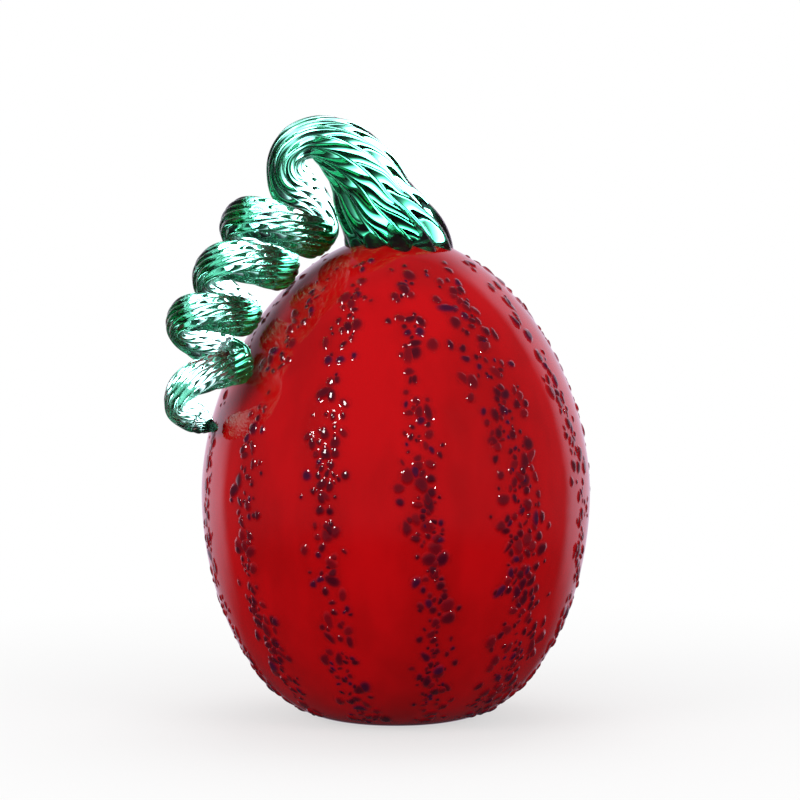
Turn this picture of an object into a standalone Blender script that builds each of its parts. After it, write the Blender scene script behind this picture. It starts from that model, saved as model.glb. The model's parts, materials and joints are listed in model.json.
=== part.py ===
"""A blown glass pumpkin: a hollow red body, a twisted green stem that hangs in a curl beside it,
and stripes of dark frit melted on to the body.

Metres, +Z up. The origin is on the body's axis, in the plane that the pumpkin stands on.
The front is -Y and the curl hangs to the left of it, at -X.
"""

import math

import bmesh
import bpy
import numpy as np

# Body
BODY_RADIUS = 0.0648
BELLY_HEIGHT = 0.0753
CROWN_HEIGHT = 0.0863
CROWN_POWER = 1.85
FOOT_FLAT_RADIUS = 0.020
FOOT_POWER = 1.95
SIDE_WALL = 0.005
FOOT_WALL = 0.009
NECK_HOLE_RADIUS = 0.008
BODY_STEPS = 48
OUTER_RINGS = 30
INNER_RINGS = 16
CUTTER_RINGS = 60
WALL_SAMPLES = 200

# Clearance between two pieces that are fused on the real pumpkin, and points that are one
FIT_GAP = 0.0003
WELD = 0.000001

# Frit stripes, from the front round to the right. Each row is the azimuth of a stripe's middle at its
# top, at the belly and at its foot, and the width of the stripe at the belly.
STRIPES = (
    (-21, -21, -16, 0.0115),
    (5, 9, 18, 0.0125),
    (31, 39, 52, 0.0185),
    (62, 71, 82, 0.0125),
    (91, 98, 108, 0.0115),
    (117, 125, 133, 0.0130),
    (144, 151, 160, 0.0115),
    (172, 178, 186, 0.0125),
    (200, 205, 213, 0.0115),
    (226, 232, 239, 0.0130),
    (254, 258, 264, 0.0110),
    (285, 285, 286, 0.0100),
    (316, 311, 312, 0.0105),
)
STRIPE_COLUMNS = (-1, -0.5, 0, 0.5, 1)
STRIPE_START_GAP = 0.0065
STRIPE_END_HEIGHT = 0.004
WIDTH_VARIATION = 0.2
CHIP_PITCH = 0.0052
CHIP_HEIGHT = 0.0012
CHIP_VARIATION = 0.25
FRIT_SKIN = 0.0004
FRIT_SEED = 5

# Stem. Each row of the arch is x, y, height over the crown, radius over the ribs and flatness.
RIBS = 12
POINTS_PER_RIB = 3
RIB_DEPTH = 0.16
FOOT_RIB_DEPTH = 0.28
FOOT_RIB_REACH = 0.016
RIB_ANGLE = math.radians(20)
FOOT_RADIUS = 0.0215
ARCH = (
    (0.0000, 0.0000, -0.0105, FOOT_RADIUS, 1.00),
    (0.0000, 0.0000, -0.0045, 0.0193, 1.00),
    (-0.0033, -0.0010, 0.0042, 0.0158, 1.00),
    (-0.0070, -0.0022, 0.0108, 0.0142, 1.00),
    (-0.0102, -0.0035, 0.0190, 0.0127, 0.98),
    (-0.0144, -0.0048, 0.0250, 0.0117, 0.95),
    (-0.0200, -0.0055, 0.0298, 0.0107, 0.88),
    (-0.0262, -0.0050, 0.0322, 0.0092, 0.78),
    (-0.0330, -0.0025, 0.0300, 0.0086, 0.76),
    (-0.0362, 0.0015, 0.0240, 0.0086, 0.78),
    (-0.0350, 0.0045, 0.0170, 0.0088, 0.80),
    (-0.0295, 0.0045, 0.0095, 0.0085, 0.74),
)

# Curl. The rows are for turns 0, 1, 2, 3 and 3.5, and a turn starts at the curl's right side.
# Azimuths are from the front, positive to the right, and lifts are of the curl's axis off the body.
TURNS = (0, 1, 2, 3, 3.5)
TURN_GAP = (0.0005, 0.0006, 0.0064, 0.0048, 0.0030)
TURN_AZIMUTH = (-74, -66, -70, -63, -65)
TURN_LIFT = (0.0193, 0.0177, 0.0168, 0.0143, 0.0085)
TURN_TILT = (25, 27, 19, 10, 6)
COIL_RADIUS = (0.0144, 0.0100, 0.0104, 0.0110, 0.0104)
ROD_RADIUS = (0.0077, 0.0075, 0.0070, 0.0066, 0.0060)
CURL_FLATNESS = 0.68
FRONT_LIFT = math.radians(16)
POINTS_PER_TURN = 12

# Tail. Each row is the way down the body from the last turn, azimuth, lift and radius.
TAIL = (
    (0.0055, -72, 0.0066, 0.0050),
    (0.0065, -66, 0.0032, 0.0020),
)
STEM_STEP = 0.0038
WALK_STEP = 0.0001
PUSH_SOFTNESS = 0.0005
BEND_REACH = 3
SELF_REACH = 0.023


def wall_table():
    """Arc length from the crown, and radius and height with their outward normal, down the outer wall."""
    turn = np.linspace(0, math.pi / 2, WALL_SAMPLES)
    crown_radius = BODY_RADIUS * np.sin(turn) ** (2 / CROWN_POWER)
    crown_height = BELLY_HEIGHT + CROWN_HEIGHT * np.cos(turn).clip(0) ** (2 / CROWN_POWER)
    foot_width = BODY_RADIUS - FOOT_FLAT_RADIUS
    foot_radius = FOOT_FLAT_RADIUS + foot_width * np.cos(turn).clip(0) ** (2 / FOOT_POWER)
    foot_height = BELLY_HEIGHT * (1 - np.sin(turn) ** (2 / FOOT_POWER))
    radius = np.concatenate((crown_radius, foot_radius[1:]))
    height = np.concatenate((crown_height, foot_height[1:]))
    wall = np.stack((radius, height), axis=1)
    along = np.gradient(wall, axis=0)
    along /= np.linalg.norm(along, axis=1, keepdims=True)
    normal = np.stack((-along[:, 1], along[:, 0]), axis=1)
    steps = np.linalg.norm(np.diff(wall, axis=0), axis=1)
    return np.concatenate(([0], np.cumsum(steps))), wall, normal


ARC, WALL, NORMAL = wall_table()
CROWN_TOP = BELLY_HEIGHT + CROWN_HEIGHT


def arc_at(height):
    """Arc length down the outer wall to a height."""
    return np.interp(-height, -WALL[:, 1], ARC)


def on_wall(arc, lift):
    """Radius and height of the point that stands off the outer wall by lift."""
    row = [np.interp(arc, ARC, WALL[:, side] + lift * NORMAL[:, side]) for side in (0, 1)]
    return np.array(row)


def placed(arc, azimuth, lift):
    """A point off the body, from its arc down the wall, its azimuth in degrees and its lift."""
    radius, height = on_wall(arc, lift)
    angle = math.radians(azimuth)
    return np.array((radius * math.sin(angle), -radius * math.cos(angle), height))


def stand_off(point):
    """How far a point is off the body's outer wall, and the way straight out from there."""
    radius = math.hypot(point[0], point[1])
    apart = np.array((radius, point[2])) - WALL
    nearest = np.argmin((apart**2).sum(axis=1))
    out = NORMAL[nearest]
    spoke = point[:2] / max(radius, WALK_STEP)
    return apart[nearest] @ out, np.array((out[0] * spoke[0], out[0] * spoke[1], out[1]))


def through(keys, values, at):
    """A smooth curve through the values, read at other keys."""
    keys = np.asarray(keys, float)
    values = np.asarray(values, float)
    slopes = np.gradient(values, keys, axis=0)
    at = np.asarray(at, float)
    left = np.clip(np.searchsorted(keys, at, side="right") - 1, 0, len(keys) - 2)
    span = keys[left + 1] - keys[left]
    part = (at - keys[left]) / span
    if values.ndim > 1:
        span = span[:, None]
        part = part[:, None]
    start = (1 + 2 * part) * (1 - part) ** 2 * values[left]
    leave = part * (1 - part) ** 2 * span * slopes[left]
    end = part**2 * (3 - 2 * part) * values[left + 1]
    arrive = part**2 * (part - 1) * span * slopes[left + 1]
    return start + leave + end + arrive


def collection_named(name, hidden=False):
    collection = bpy.data.collections.new(name)
    collection.hide_render = hidden
    bpy.context.scene.collection.children.link(collection)
    return collection


def add_object(name, data, collection):
    piece = bpy.data.objects.new(name, data)
    collection.objects.link(piece)
    return piece


def linear(value):
    """One sRGB channel as Blender's linear value."""
    value /= 255
    return value / 12.92 if value <= 0.04045 else ((value + 0.055) / 1.055) ** 2.4


def glass(name, colour, roughness, transmission):
    material = bpy.data.materials.new(name)
    material.use_nodes = True
    shader = material.node_tree.nodes["Principled BSDF"]
    rgb = [linear(int(colour[start : start + 2], 16)) for start in (0, 2, 4)]
    shader.inputs["Base Color"].default_value = (*rgb, 1)
    shader.inputs["Metallic"].default_value = 0
    shader.inputs["Roughness"].default_value = roughness
    shader.inputs["IOR"].default_value = 1.52
    shader.inputs["Transmission Weight"].default_value = transmission
    return material


def turned(name, profile, steps, collection):
    """A profile of radii and heights, down the outer side, turned round the upright axis."""
    mesh = bpy.data.meshes.new(name)
    points = [(radius, 0, height) for radius, height in profile]
    edges = [(index, index + 1) for index in range(len(points) - 1)]
    mesh.from_pydata(points, edges, [])
    piece = add_object(name, mesh, collection)
    screw = piece.modifiers.new("turned", "SCREW")
    screw.axis = "Z"
    screw.angle = 2 * math.pi
    screw.steps = steps
    screw.render_steps = steps
    screw.use_merge_vertices = True
    screw.merge_threshold = WELD
    screw.use_smooth_shade = True
    return piece


def wall_thickness(arc):
    """The wall, which thickens from the side to the foot."""
    belly_arc = arc_at(BELLY_HEIGHT)
    low = np.clip((arc - belly_arc) / (ARC[-1] - belly_arc), 0, 1)
    return SIDE_WALL + (FOOT_WALL - SIDE_WALL) * low**2


def body_profile():
    """From the middle of the hollow's floor up the inside, out at the neck and down the outside."""
    neck_arc = np.interp(NECK_HOLE_RADIUS, WALL[:WALL_SAMPLES, 0], ARC[:WALL_SAMPLES])
    outer = [on_wall(arc, 0) for arc in np.linspace(neck_arc, ARC[-1], OUTER_RINGS)]
    arcs = np.linspace(neck_arc, ARC[-1], INNER_RINGS)
    inner = [on_wall(arc, -wall_thickness(arc)) for arc in arcs]
    inner[0][0] = NECK_HOLE_RADIUS
    return [(0, FOOT_WALL), *inner[::-1], *outer, (0, 0)]


def add_body(collection):
    body = turned("red_body", body_profile(), BODY_STEPS, collection)
    body.data.materials.append(glass("red_glass", "B80C14", 0.05, 0))
    return body


def add_body_cutter(collection):
    """The body's outer form with the clearance all round, which shapes the stem's underside."""
    profile = [on_wall(arc, FIT_GAP) for arc in np.linspace(0, ARC[-1], CUTTER_RINGS)]
    profile[0][0] = 0
    cutter = turned("body_cutter", [*profile, (0, -FIT_GAP)], BODY_STEPS, collection)
    cutter.hide_render = True
    cutter.display_type = "WIRE"
    return cutter


def turn_apart(row, centre, last):
    """How far this turn's axis is from what it must clear, and how far it should be."""
    if last is None:
        reach = COIL_RADIUS[row] * math.cos(math.radians(TURN_TILT[row]))
        thickness = CURL_FLATNESS * ROD_RADIUS[row]
        return math.hypot(centre[0], centre[1]), FOOT_RADIUS + thickness + reach + TURN_GAP[row]
    return np.linalg.norm(centre - last), ROD_RADIUS[row - 1] + ROD_RADIUS[row] + TURN_GAP[row]


def curl_axis():
    """The axis point of each row, laid down the body so that the rows keep clear of each other."""
    centres = []
    arc = 0
    for row in range(len(TURNS)):
        last = centres[-1] if centres else None
        centre = placed(arc, TURN_AZIMUTH[row], TURN_LIFT[row])
        apart, clear = turn_apart(row, centre, last)
        while apart < clear:
            arc += WALK_STEP
            centre = placed(arc, TURN_AZIMUTH[row], TURN_LIFT[row])
            apart, clear = turn_apart(row, centre, last)
        centres.append(centre)
    return centres, arc


def curl():
    """Rows of point, radius and flatness along the turns of the curl, and where on the body it ends."""
    centres, last_arc = curl_axis()
    turns = np.linspace(0, TURNS[-1], round(TURNS[-1] * POINTS_PER_TURN) + 1)
    middle = through(TURNS, centres, turns)
    coil = through(TURNS, COIL_RADIUS, turns)
    rod = through(TURNS, ROD_RADIUS, turns)
    tilt = np.radians(through(TURNS, TURN_TILT, turns))
    front = np.array((0, -math.cos(FRONT_LIFT), math.sin(FRONT_LIFT)))
    rows = []
    for index, turn in enumerate(turns):
        angle = 2 * math.pi * turn
        right = np.array((math.cos(tilt[index]), 0, -math.sin(tilt[index])))
        around = math.cos(angle) * right + math.sin(angle) * front
        rows.append((*(middle[index] + coil[index] * around), rod[index], CURL_FLATNESS))
    return rows, last_arc


def stem_route():
    """Even points, radii and flatness from inside the crown to the tip, and how far each one hangs."""
    rows = [(x, y, CROWN_TOP + rise, radius, flat) for x, y, rise, radius, flat in ARCH]
    turn_rows, last_arc = curl()
    tail = [(*placed(last_arc + way, azimuth, lift), radius, 1) for way, azimuth, lift, radius in TAIL]
    rows = np.array(rows + turn_rows + tail)
    way = distance_along(rows[:, :3])
    even = np.linspace(0, way[-1], round(way[-1] / STEM_STEP) + 1)
    route = through(way, rows, even)
    hanging = np.clip((even - way[len(ARCH) - 1]) / FOOT_RADIUS, 0, 1)
    return route[:, :3], route[:, 3], route[:, 4], hanging


def distance_along(points):
    return np.concatenate(([0], np.cumsum(np.linalg.norm(np.diff(points, axis=0), axis=1))))


def unit(vector):
    return vector / np.linalg.norm(vector)


def frames(points):
    """At each point the rod's direction, a side carried along untwisted, and the way it is flattened."""
    along = [unit(step) for step in np.gradient(points, axis=0)]
    bends = [np.cross(along[index - 1], along[index]) for index in range(1, len(along))]
    bends = np.array([bends[0], *bends])
    side = np.array((1, 0, 0))
    result = []
    for index, direction in enumerate(along):
        side = unit(side - side @ direction * direction)
        near = bends[max(0, index - BEND_REACH) : index + BEND_REACH + 1].sum(axis=0)
        wide = unit(near - near @ direction * direction)
        result.append((direction, side, wide))
    return result


def thickness_toward(way, frame, radius, flat):
    """How far the rod's section reaches in a direction."""
    direction, _, wide = frame
    thin = np.cross(direction, wide)
    return radius * math.hypot(way @ wide, flat * (way @ thin))


def laid_on_body(points, radii, flatness, hanging):
    """The points, moved straight out where the curl would come nearer the body than its frit stands."""
    rest = CHIP_HEIGHT * (1 + CHIP_VARIATION) + 2 * FIT_GAP
    moved = []
    for index, frame in enumerate(frames(points)):
        distance, outward = stand_off(points[index])
        reach = thickness_toward(outward, frame, radii[index], flatness[index])
        short = reach + rest - distance
        push = (short + math.hypot(short, PUSH_SOFTNESS)) / 2
        moved.append(points[index] + hanging[index] * push * outward)
    return np.array(moved)


def ribbed_ring(frame, radius, flat, depth, twist):
    """Round ribs with sharp valleys between them, turned by twist and pressed flat across the bend."""
    direction, side, wide = frame
    up = np.cross(direction, side)
    ring = []
    for spot in range(RIBS * POINTS_PER_RIB):
        lobe = abs(math.sin(math.pi * spot / POINTS_PER_RIB))
        angle = 2 * math.pi * spot / (RIBS * POINTS_PER_RIB) + twist
        around = math.cos(angle) * side + math.sin(angle) * up
        broad = around @ wide
        squash = math.hypot(broad, math.sqrt(max(0, 1 - broad**2)) / flat)
        ring.append(radius * (1 - depth * (1 - lobe)) / squash * around)
    return np.array(ring)


def stem_rings():
    """The rod's ribbed rings from the foot to the tip, and how far along it each one is."""
    points, radii, flatness, hanging = stem_route()
    points = laid_on_body(points, radii, flatness, hanging)
    way = distance_along(points)
    twist = 0
    rings = []
    for index, frame in enumerate(frames(points)):
        if index:
            twist -= math.tan(RIB_ANGLE) * (way[index] - way[index - 1]) / radii[index]
        depth = RIB_DEPTH + (FOOT_RIB_DEPTH - RIB_DEPTH) * math.exp(-((way[index] / FOOT_RIB_REACH) ** 2))
        rings.append(points[index] + ribbed_ring(frame, radii[index], flatness[index], depth, twist))
    return rings, way


def least_gap(rings, way):
    """The least gap of the rod to itself, measured on its points, leaving out its neighbours along it."""
    rings = np.array(rings)
    least = math.inf
    for index, ring in enumerate(rings):
        far = rings[way - way[index] > SELF_REACH].reshape(-1, 3)
        if len(far):
            least = min(least, np.linalg.norm(far[:, None] - ring[None], axis=2).min())
    return least


def rolled(name, rings, collection, material):
    """A grid rolled into a tube round the rings, with its seam welded and its ends closed."""
    rows, sides = len(rings) - 1, len(rings[0])
    work = bmesh.new()
    bmesh.ops.create_grid(work, x_segments=rows, y_segments=sides, size=1)
    for vertex in work.verts:
        row = round((vertex.co.x + 1) / 2 * rows)
        side = round((vertex.co.y + 1) / 2 * sides) % sides
        vertex.co = rings[row][side]
    bmesh.ops.remove_doubles(work, verts=work.verts, dist=WELD)
    bmesh.ops.holes_fill(work, edges=work.edges, sides=sides)
    bmesh.ops.recalc_face_normals(work, faces=work.faces)
    mesh = bpy.data.meshes.new(name)
    work.to_mesh(mesh)
    work.free()
    mesh.shade_smooth()
    mesh.materials.append(material)
    return add_object(name, mesh, collection)


def add_stem(collection, cutter):
    rings, way = stem_rings()
    print(f"green_stem: least gap to itself {1000 * least_gap(rings, way):.2f} mm")
    stem = rolled("green_stem", rings, collection, glass("green_glass", "128A5A", 0.03, 0.9))
    cut = stem.modifiers.new("seat on the body", "BOOLEAN")
    cut.operation = "DIFFERENCE"
    cut.solver = "EXACT"
    cut.object = cutter
    return stem


def stripe_arcs():
    """How far down the wall a stripe starts, clear of the stem's foot, crosses the belly and ends."""
    return FOOT_RADIUS + STRIPE_START_GAP, arc_at(BELLY_HEIGHT), arc_at(STRIPE_END_HEIGHT)


def stripe_ring(number, row, arc, chance):
    """One ring across a stripe: left edge, three points on top, right edge and the underside's middle."""
    middles = through(stripe_arcs(), np.array(STRIPES)[:, :3].T, [arc])[0]
    middle = middles[number]
    radius = on_wall(arc, 0)[0]
    width = STRIPES[number][3] * math.sqrt(radius / BODY_RADIUS)
    width *= 1 + chance.uniform(-WIDTH_VARIATION, WIDTH_VARIATION)
    half = math.degrees(width / 2 / radius)
    gap = math.degrees(FIT_GAP / radius)
    left = min(half, (middle - middles[number - 1]) % 360 / 2 - gap)
    right = min(half, (middles[(number + 1) % len(middles)] - middle) % 360 / 2 - gap)
    ring = []
    for column, across in enumerate(STRIPE_COLUMNS):
        height = FRIT_SKIN
        if abs(across) < 1 and (row + column) % 2:
            height = CHIP_HEIGHT * (1 + chance.uniform(-CHIP_VARIATION, CHIP_VARIATION))
        azimuth = middle + across * (left if across < 0 else right)
        ring.append(placed(arc, azimuth, FIT_GAP + height))
    ring.append(placed(arc, middle, FIT_GAP))
    return ring


def stripe_rings(number, chance):
    """The rings of a stripe, from beside the stem's foot down to just over the standing plane."""
    start, _, end = stripe_arcs()
    rows = round((end - start) / CHIP_PITCH)
    arcs = np.linspace(start, end, rows + 1)
    return [stripe_ring(number, row, arc, chance) for row, arc in enumerate(arcs)]


def main():
    for leftover in list(bpy.data.objects):
        bpy.data.objects.remove(leftover)
    pumpkin = collection_named("glass_pumpkin")
    helpers = collection_named("cutters", hidden=True)
    add_body(pumpkin)
    add_stem(pumpkin, add_body_cutter(helpers))
    frit = glass("frit_glass", "2A0820", 0.05, 0)
    for number in range(len(STRIPES)):
        rings = stripe_rings(number, np.random.default_rng(FRIT_SEED + number))
        rolled(f"frit_stripe_{number + 1:02d}", rings, pumpkin, frit)


main()
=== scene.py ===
"""Dresses a blown glass pumpkin: its fire-polished red body, its twisted green stem, and the dark
chips of frit that are melted on to the body in stripes.

Metres, +Z up. The front is -Y, and the curl of the stem hangs at -X.
"""

import json
import math

import bmesh
import bpy
import numpy as np
from bpy.props import FloatProperty, FloatVectorProperty, IntProperty, PointerProperty
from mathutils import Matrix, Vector
from mathutils.kdtree import KDTree

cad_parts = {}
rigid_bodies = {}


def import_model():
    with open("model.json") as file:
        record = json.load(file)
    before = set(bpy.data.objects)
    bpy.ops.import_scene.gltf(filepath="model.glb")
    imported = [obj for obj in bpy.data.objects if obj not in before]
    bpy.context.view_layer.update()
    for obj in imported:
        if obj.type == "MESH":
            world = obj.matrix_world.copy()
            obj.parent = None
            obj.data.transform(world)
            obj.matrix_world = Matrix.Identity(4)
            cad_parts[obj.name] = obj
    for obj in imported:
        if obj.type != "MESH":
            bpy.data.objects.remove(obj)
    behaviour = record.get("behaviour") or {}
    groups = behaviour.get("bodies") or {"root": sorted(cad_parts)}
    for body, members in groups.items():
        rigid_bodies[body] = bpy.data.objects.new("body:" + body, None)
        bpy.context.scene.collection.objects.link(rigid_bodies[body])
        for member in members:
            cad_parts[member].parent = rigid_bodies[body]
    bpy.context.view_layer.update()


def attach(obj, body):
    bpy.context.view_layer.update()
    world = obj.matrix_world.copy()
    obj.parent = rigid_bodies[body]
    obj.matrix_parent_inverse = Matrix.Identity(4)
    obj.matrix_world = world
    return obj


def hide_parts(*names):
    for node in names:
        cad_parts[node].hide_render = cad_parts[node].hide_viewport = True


bl_info = {
    "name": "Glass pumpkin",
    "version": (1, 0, 0),
    "blender": (4, 5, 0),
    "location": "3D View > Sidebar > Glass pumpkin",
    "description": "Models and dresses a blown glass pumpkin with a twisted stem",
    "category": "Add Mesh",
}

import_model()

MILLIMETRE = 0.001
WELD = 0.000001

# Form of the body's meridian over and under the belly. The least radius is what a point on the
# axis is taken to have, so that its way out isn't divided by nothing.
CROWN_POWER = 1.85
FOOT_POWER = 1.95
WALL_SAMPLES = 400
LEAST_RADIUS = 0.0001

# Stem. Each row of the arch is x, y, height over the crown, radius over the ribs and flatness.
FOOT_RADIUS = 0.0215
ARCH = (
    (0.0000, 0.0000, -0.0105, FOOT_RADIUS, 1.00),
    (0.0000, 0.0000, -0.0045, 0.0193, 1.00),
    (-0.0033, -0.0010, 0.0042, 0.0158, 1.00),
    (-0.0070, -0.0022, 0.0108, 0.0142, 1.00),
    (-0.0102, -0.0035, 0.0190, 0.0127, 0.98),
    (-0.0144, -0.0048, 0.0250, 0.0117, 0.95),
    (-0.0200, -0.0055, 0.0298, 0.0107, 0.88),
    (-0.0262, -0.0050, 0.0322, 0.0092, 0.78),
    (-0.0330, -0.0025, 0.0300, 0.0086, 0.76),
    (-0.0362, 0.0015, 0.0240, 0.0086, 0.78),
    (-0.0350, 0.0045, 0.0170, 0.0088, 0.80),
    (-0.0295, 0.0045, 0.0095, 0.0085, 0.74),
)

# Curl. The rows are for turns 0, 1, 2, 3 and 3.5, and a turn starts at the curl's right side.
# Azimuths are from the front, positive to the right, and lifts are of its axis off the body.
TURNS = (0, 1, 2, 3, 3.5)
TURN_GAP = (0.0005, 0.0006, 0.0064, 0.0048, 0.0030)
TURN_AZIMUTH = (-74, -66, -70, -63, -65)
TURN_LIFT = (0.0193, 0.0177, 0.0168, 0.0143, 0.0085)
TURN_TILT = (25, 27, 19, 10, 6)
COIL_RADIUS = (0.0144, 0.0100, 0.0104, 0.0110, 0.0104)
ROD_RADIUS = (0.0077, 0.0075, 0.0070, 0.0066, 0.0060)
CURL_FLATNESS = 0.68
FRONT_LIFT = math.radians(16)
POINTS_PER_TURN = 12

# Tail. Each row is the way down the body from the last turn, azimuth, lift and radius.
TAIL = (
    (0.0055, -72, 0.0066, 0.0050),
    (0.0065, -66, 0.0032, 0.0020),
)

# Frit stripes, from the front round to the right. Each row is the azimuth of a stripe's middle at
# its top, at the belly and at its foot, its width at the belly, and its number of chips.
STRIPES = (
    (-21, -21, -16, 0.0125, 170),
    (5, 9, 18, 0.0135, 196),
    (31, 39, 52, 0.0200, 290),
    (62, 71, 82, 0.0130, 150),
    (91, 98, 108, 0.0120, 132),
    (117, 125, 133, 0.0135, 156),
    (144, 151, 160, 0.0120, 134),
    (172, 178, 186, 0.0130, 152),
    (200, 205, 213, 0.0120, 134),
    (226, 232, 239, 0.0135, 154),
    (254, 258, 264, 0.0115, 130),
    (285, 285, 286, 0.0110, 126),
    (316, 311, 312, 0.0120, 160),
)


def linear(colour):
    """An sRGB hex colour as linear red, green and blue."""
    channels = [int(colour[start : start + 2], 16) / 255 for start in (0, 2, 4)]
    return tuple(c / 12.92 if c <= 0.04045 else ((c + 0.055) / 1.055) ** 2.4 for c in channels)


class BodySettings(bpy.types.PropertyGroup):
    radius: FloatProperty(
        name="Radius",
        description="Radius of the body at its belly",
        default=0.0648,
        unit="LENGTH",
    )
    belly_height: FloatProperty(
        name="Belly height",
        description="Height of the widest ring",
        default=0.0753,
        unit="LENGTH",
    )
    crown_height: FloatProperty(
        name="Crown height",
        description="Height of the crown over the belly",
        default=0.0863,
        unit="LENGTH",
    )
    flat_radius: FloatProperty(
        name="Foot",
        description="Radius of the flat that it stands on",
        default=0.020,
        unit="LENGTH",
    )
    side_wall: FloatProperty(
        name="Side wall",
        description="Thickness of the blown wall",
        default=0.005,
        unit="LENGTH",
    )
    foot_wall: FloatProperty(
        name="Foot wall",
        description="Thickness of the glass at the foot",
        default=0.009,
        unit="LENGTH",
    )
    neck_radius: FloatProperty(
        name="Neck hole",
        description="Radius of the hole under the stem",
        default=0.008,
        unit="LENGTH",
    )
    red: FloatVectorProperty(
        name="Red",
        description="Colour of the opaque glass",
        default=linear("C20409"),
        subtype="COLOR",
    )
    deep_red: FloatVectorProperty(
        name="Deep red",
        description="Colour where it lies thick",
        default=linear("AC0306"),
        subtype="COLOR",
    )


class StemSettings(bpy.types.PropertyGroup):
    ribs: IntProperty(
        name="Ribs",
        description="Ribs that the mould gives the rod",
        default=12,
        min=3,
    )
    rib_depth: FloatProperty(
        name="Rib depth",
        description="Depth of a valley as a share of the radius",
        default=0.115,
        min=0,
        max=1,
        subtype="FACTOR",
    )
    foot_rib_depth: FloatProperty(
        name="Foot rib depth",
        description="The same where the stem meets the body",
        default=0.22,
        min=0,
        max=1,
        subtype="FACTOR",
    )
    rib_angle: FloatProperty(
        name="Twist",
        description="Angle of the ribs to the rod",
        default=math.radians(20),
        subtype="ANGLE",
    )
    tint: FloatVectorProperty(
        name="Tint",
        description="What the green glass lets through",
        default=linear("45F1CB"),
        subtype="COLOR",
    )
    strength: FloatProperty(
        name="Strength",
        description="How strongly it colours each metre",
        default=110.0,
        min=0,
    )


class FritSettings(bpy.types.PropertyGroup):
    radius: FloatProperty(
        name="Chip radius",
        description="Usual radius of a melted chip",
        default=0.00114,
        unit="LENGTH",
    )
    height: FloatProperty(
        name="Chip height",
        description="How far a chip stands out",
        default=0.00045,
        unit="LENGTH",
    )
    seed: IntProperty(
        name="Seed",
        description="Picks the chips' places",
        default=5,
    )
    dark: FloatVectorProperty(
        name="Dark",
        description="Colour of a thick chip",
        default=linear("460213"),
        subtype="COLOR",
    )
    thin: FloatVectorProperty(
        name="Thin",
        description="Colour of a chip melted flat",
        default=linear("7A0411"),
        subtype="COLOR",
    )
    violet: FloatVectorProperty(
        name="Violet",
        description="Colour of a few clearer chips",
        default=linear("42062A"),
        subtype="COLOR",
    )
    # The darker red that the body is given round each chip.
    halo: FloatVectorProperty(
        name="Halo",
        description="Colour that bleeds round chips",
        default=linear("7E0208"),
        subtype="COLOR",
    )


class StageSettings(bpy.types.PropertyGroup):
    camera_distance: FloatProperty(
        name="Distance",
        description="From the camera to the pumpkin",
        default=1.5,
        unit="LENGTH",
    )
    camera_height: FloatProperty(
        name="Elevation",
        description="Of the camera",
        default=math.radians(5.5),
        subtype="ANGLE",
    )
    field: FloatProperty(
        name="Field",
        description="Width that the picture takes in",
        default=0.26667,
        unit="LENGTH",
    )
    ambient: FloatProperty(
        name="Ambient",
        description="Light from all round",
        default=0.62,
        min=0,
    )


class PumpkinSettings(bpy.types.PropertyGroup):
    body: PointerProperty(
        type=BodySettings, name="Body", description="Sizes and colours of the body"
    )
    stem: PointerProperty(
        type=StemSettings, name="Stem", description="Ribs and colour of the stem"
    )
    frit: PointerProperty(
        type=FritSettings, name="Frit", description="Size and colour of the chips"
    )
    stage: PointerProperty(type=StageSettings, name="Stage", description="Camera and light")


class Wall:
    """The body's outer wall as one meridian, from the crown to the edge of the flat foot."""

    def __init__(self, body):
        turn = np.linspace(0, math.pi / 2, WALL_SAMPLES)
        dome = np.cos(turn).clip(0) ** (2 / CROWN_POWER)
        crown_radius = body.radius * np.sin(turn) ** (2 / CROWN_POWER)
        crown_height = body.belly_height + body.crown_height * dome
        foot_width = body.radius - body.flat_radius
        foot_radius = body.flat_radius + foot_width * np.cos(turn).clip(0) ** (2 / FOOT_POWER)
        foot_height = body.belly_height * (1 - np.sin(turn) ** (2 / FOOT_POWER))
        radius = np.concatenate((crown_radius, foot_radius[1:]))
        height = np.concatenate((crown_height, foot_height[1:]))
        self.points = np.stack((radius, height), axis=1)
        along = np.gradient(self.points, axis=0)
        along /= np.linalg.norm(along, axis=1, keepdims=True)
        self.normals = np.stack((-along[:, 1], along[:, 0]), axis=1)
        self.arcs = distance_along(self.points)
        self.end = self.arcs[-1]
        self.belly_arc = self.arc_at(body.belly_height)
        self.crown_top = body.belly_height + body.crown_height

    def arc_at(self, height):
        """Arc length from the crown down to a height."""
        return np.interp(-height, -self.points[:, 1], self.arcs)

    def section(self, arc, lift):
        """Radius and height of points that stand off the wall."""
        stood = [
            np.interp(arc, self.arcs, self.points[:, side])
            + lift * np.interp(arc, self.arcs, self.normals[:, side])
            for side in (0, 1)
        ]
        return np.stack(stood, axis=-1)

    def placed(self, arc, azimuth, lift):
        """Points off the wall, from their arc, azimuth in degrees and lift."""
        section = self.section(arc, lift)
        angle = np.radians(azimuth)
        radius = section[..., 0]
        return np.stack((radius * np.sin(angle), -radius * np.cos(angle), section[..., 1]), axis=-1)

    def stand_off(self, points):
        """How far points are off the wall, and the way straight out from there."""
        points = np.atleast_2d(points)
        radius = np.hypot(points[:, 0], points[:, 1])
        place = np.stack((radius, points[:, 2]), axis=1)
        apart = place[:, None] - self.points[None]
        nearest = np.argmin((apart**2).sum(axis=2), axis=1)
        out = self.normals[nearest]
        distance = (apart[np.arange(len(points)), nearest] * out).sum(axis=1)
        spoke = points[:, :2] / np.maximum(radius, LEAST_RADIUS)[:, None]
        return distance, np.concatenate((out[:, :1] * spoke, out[:, 1:]), axis=1)


def distance_along(points):
    return np.concatenate(([0], np.cumsum(np.linalg.norm(np.diff(points, axis=0), axis=1))))


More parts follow.
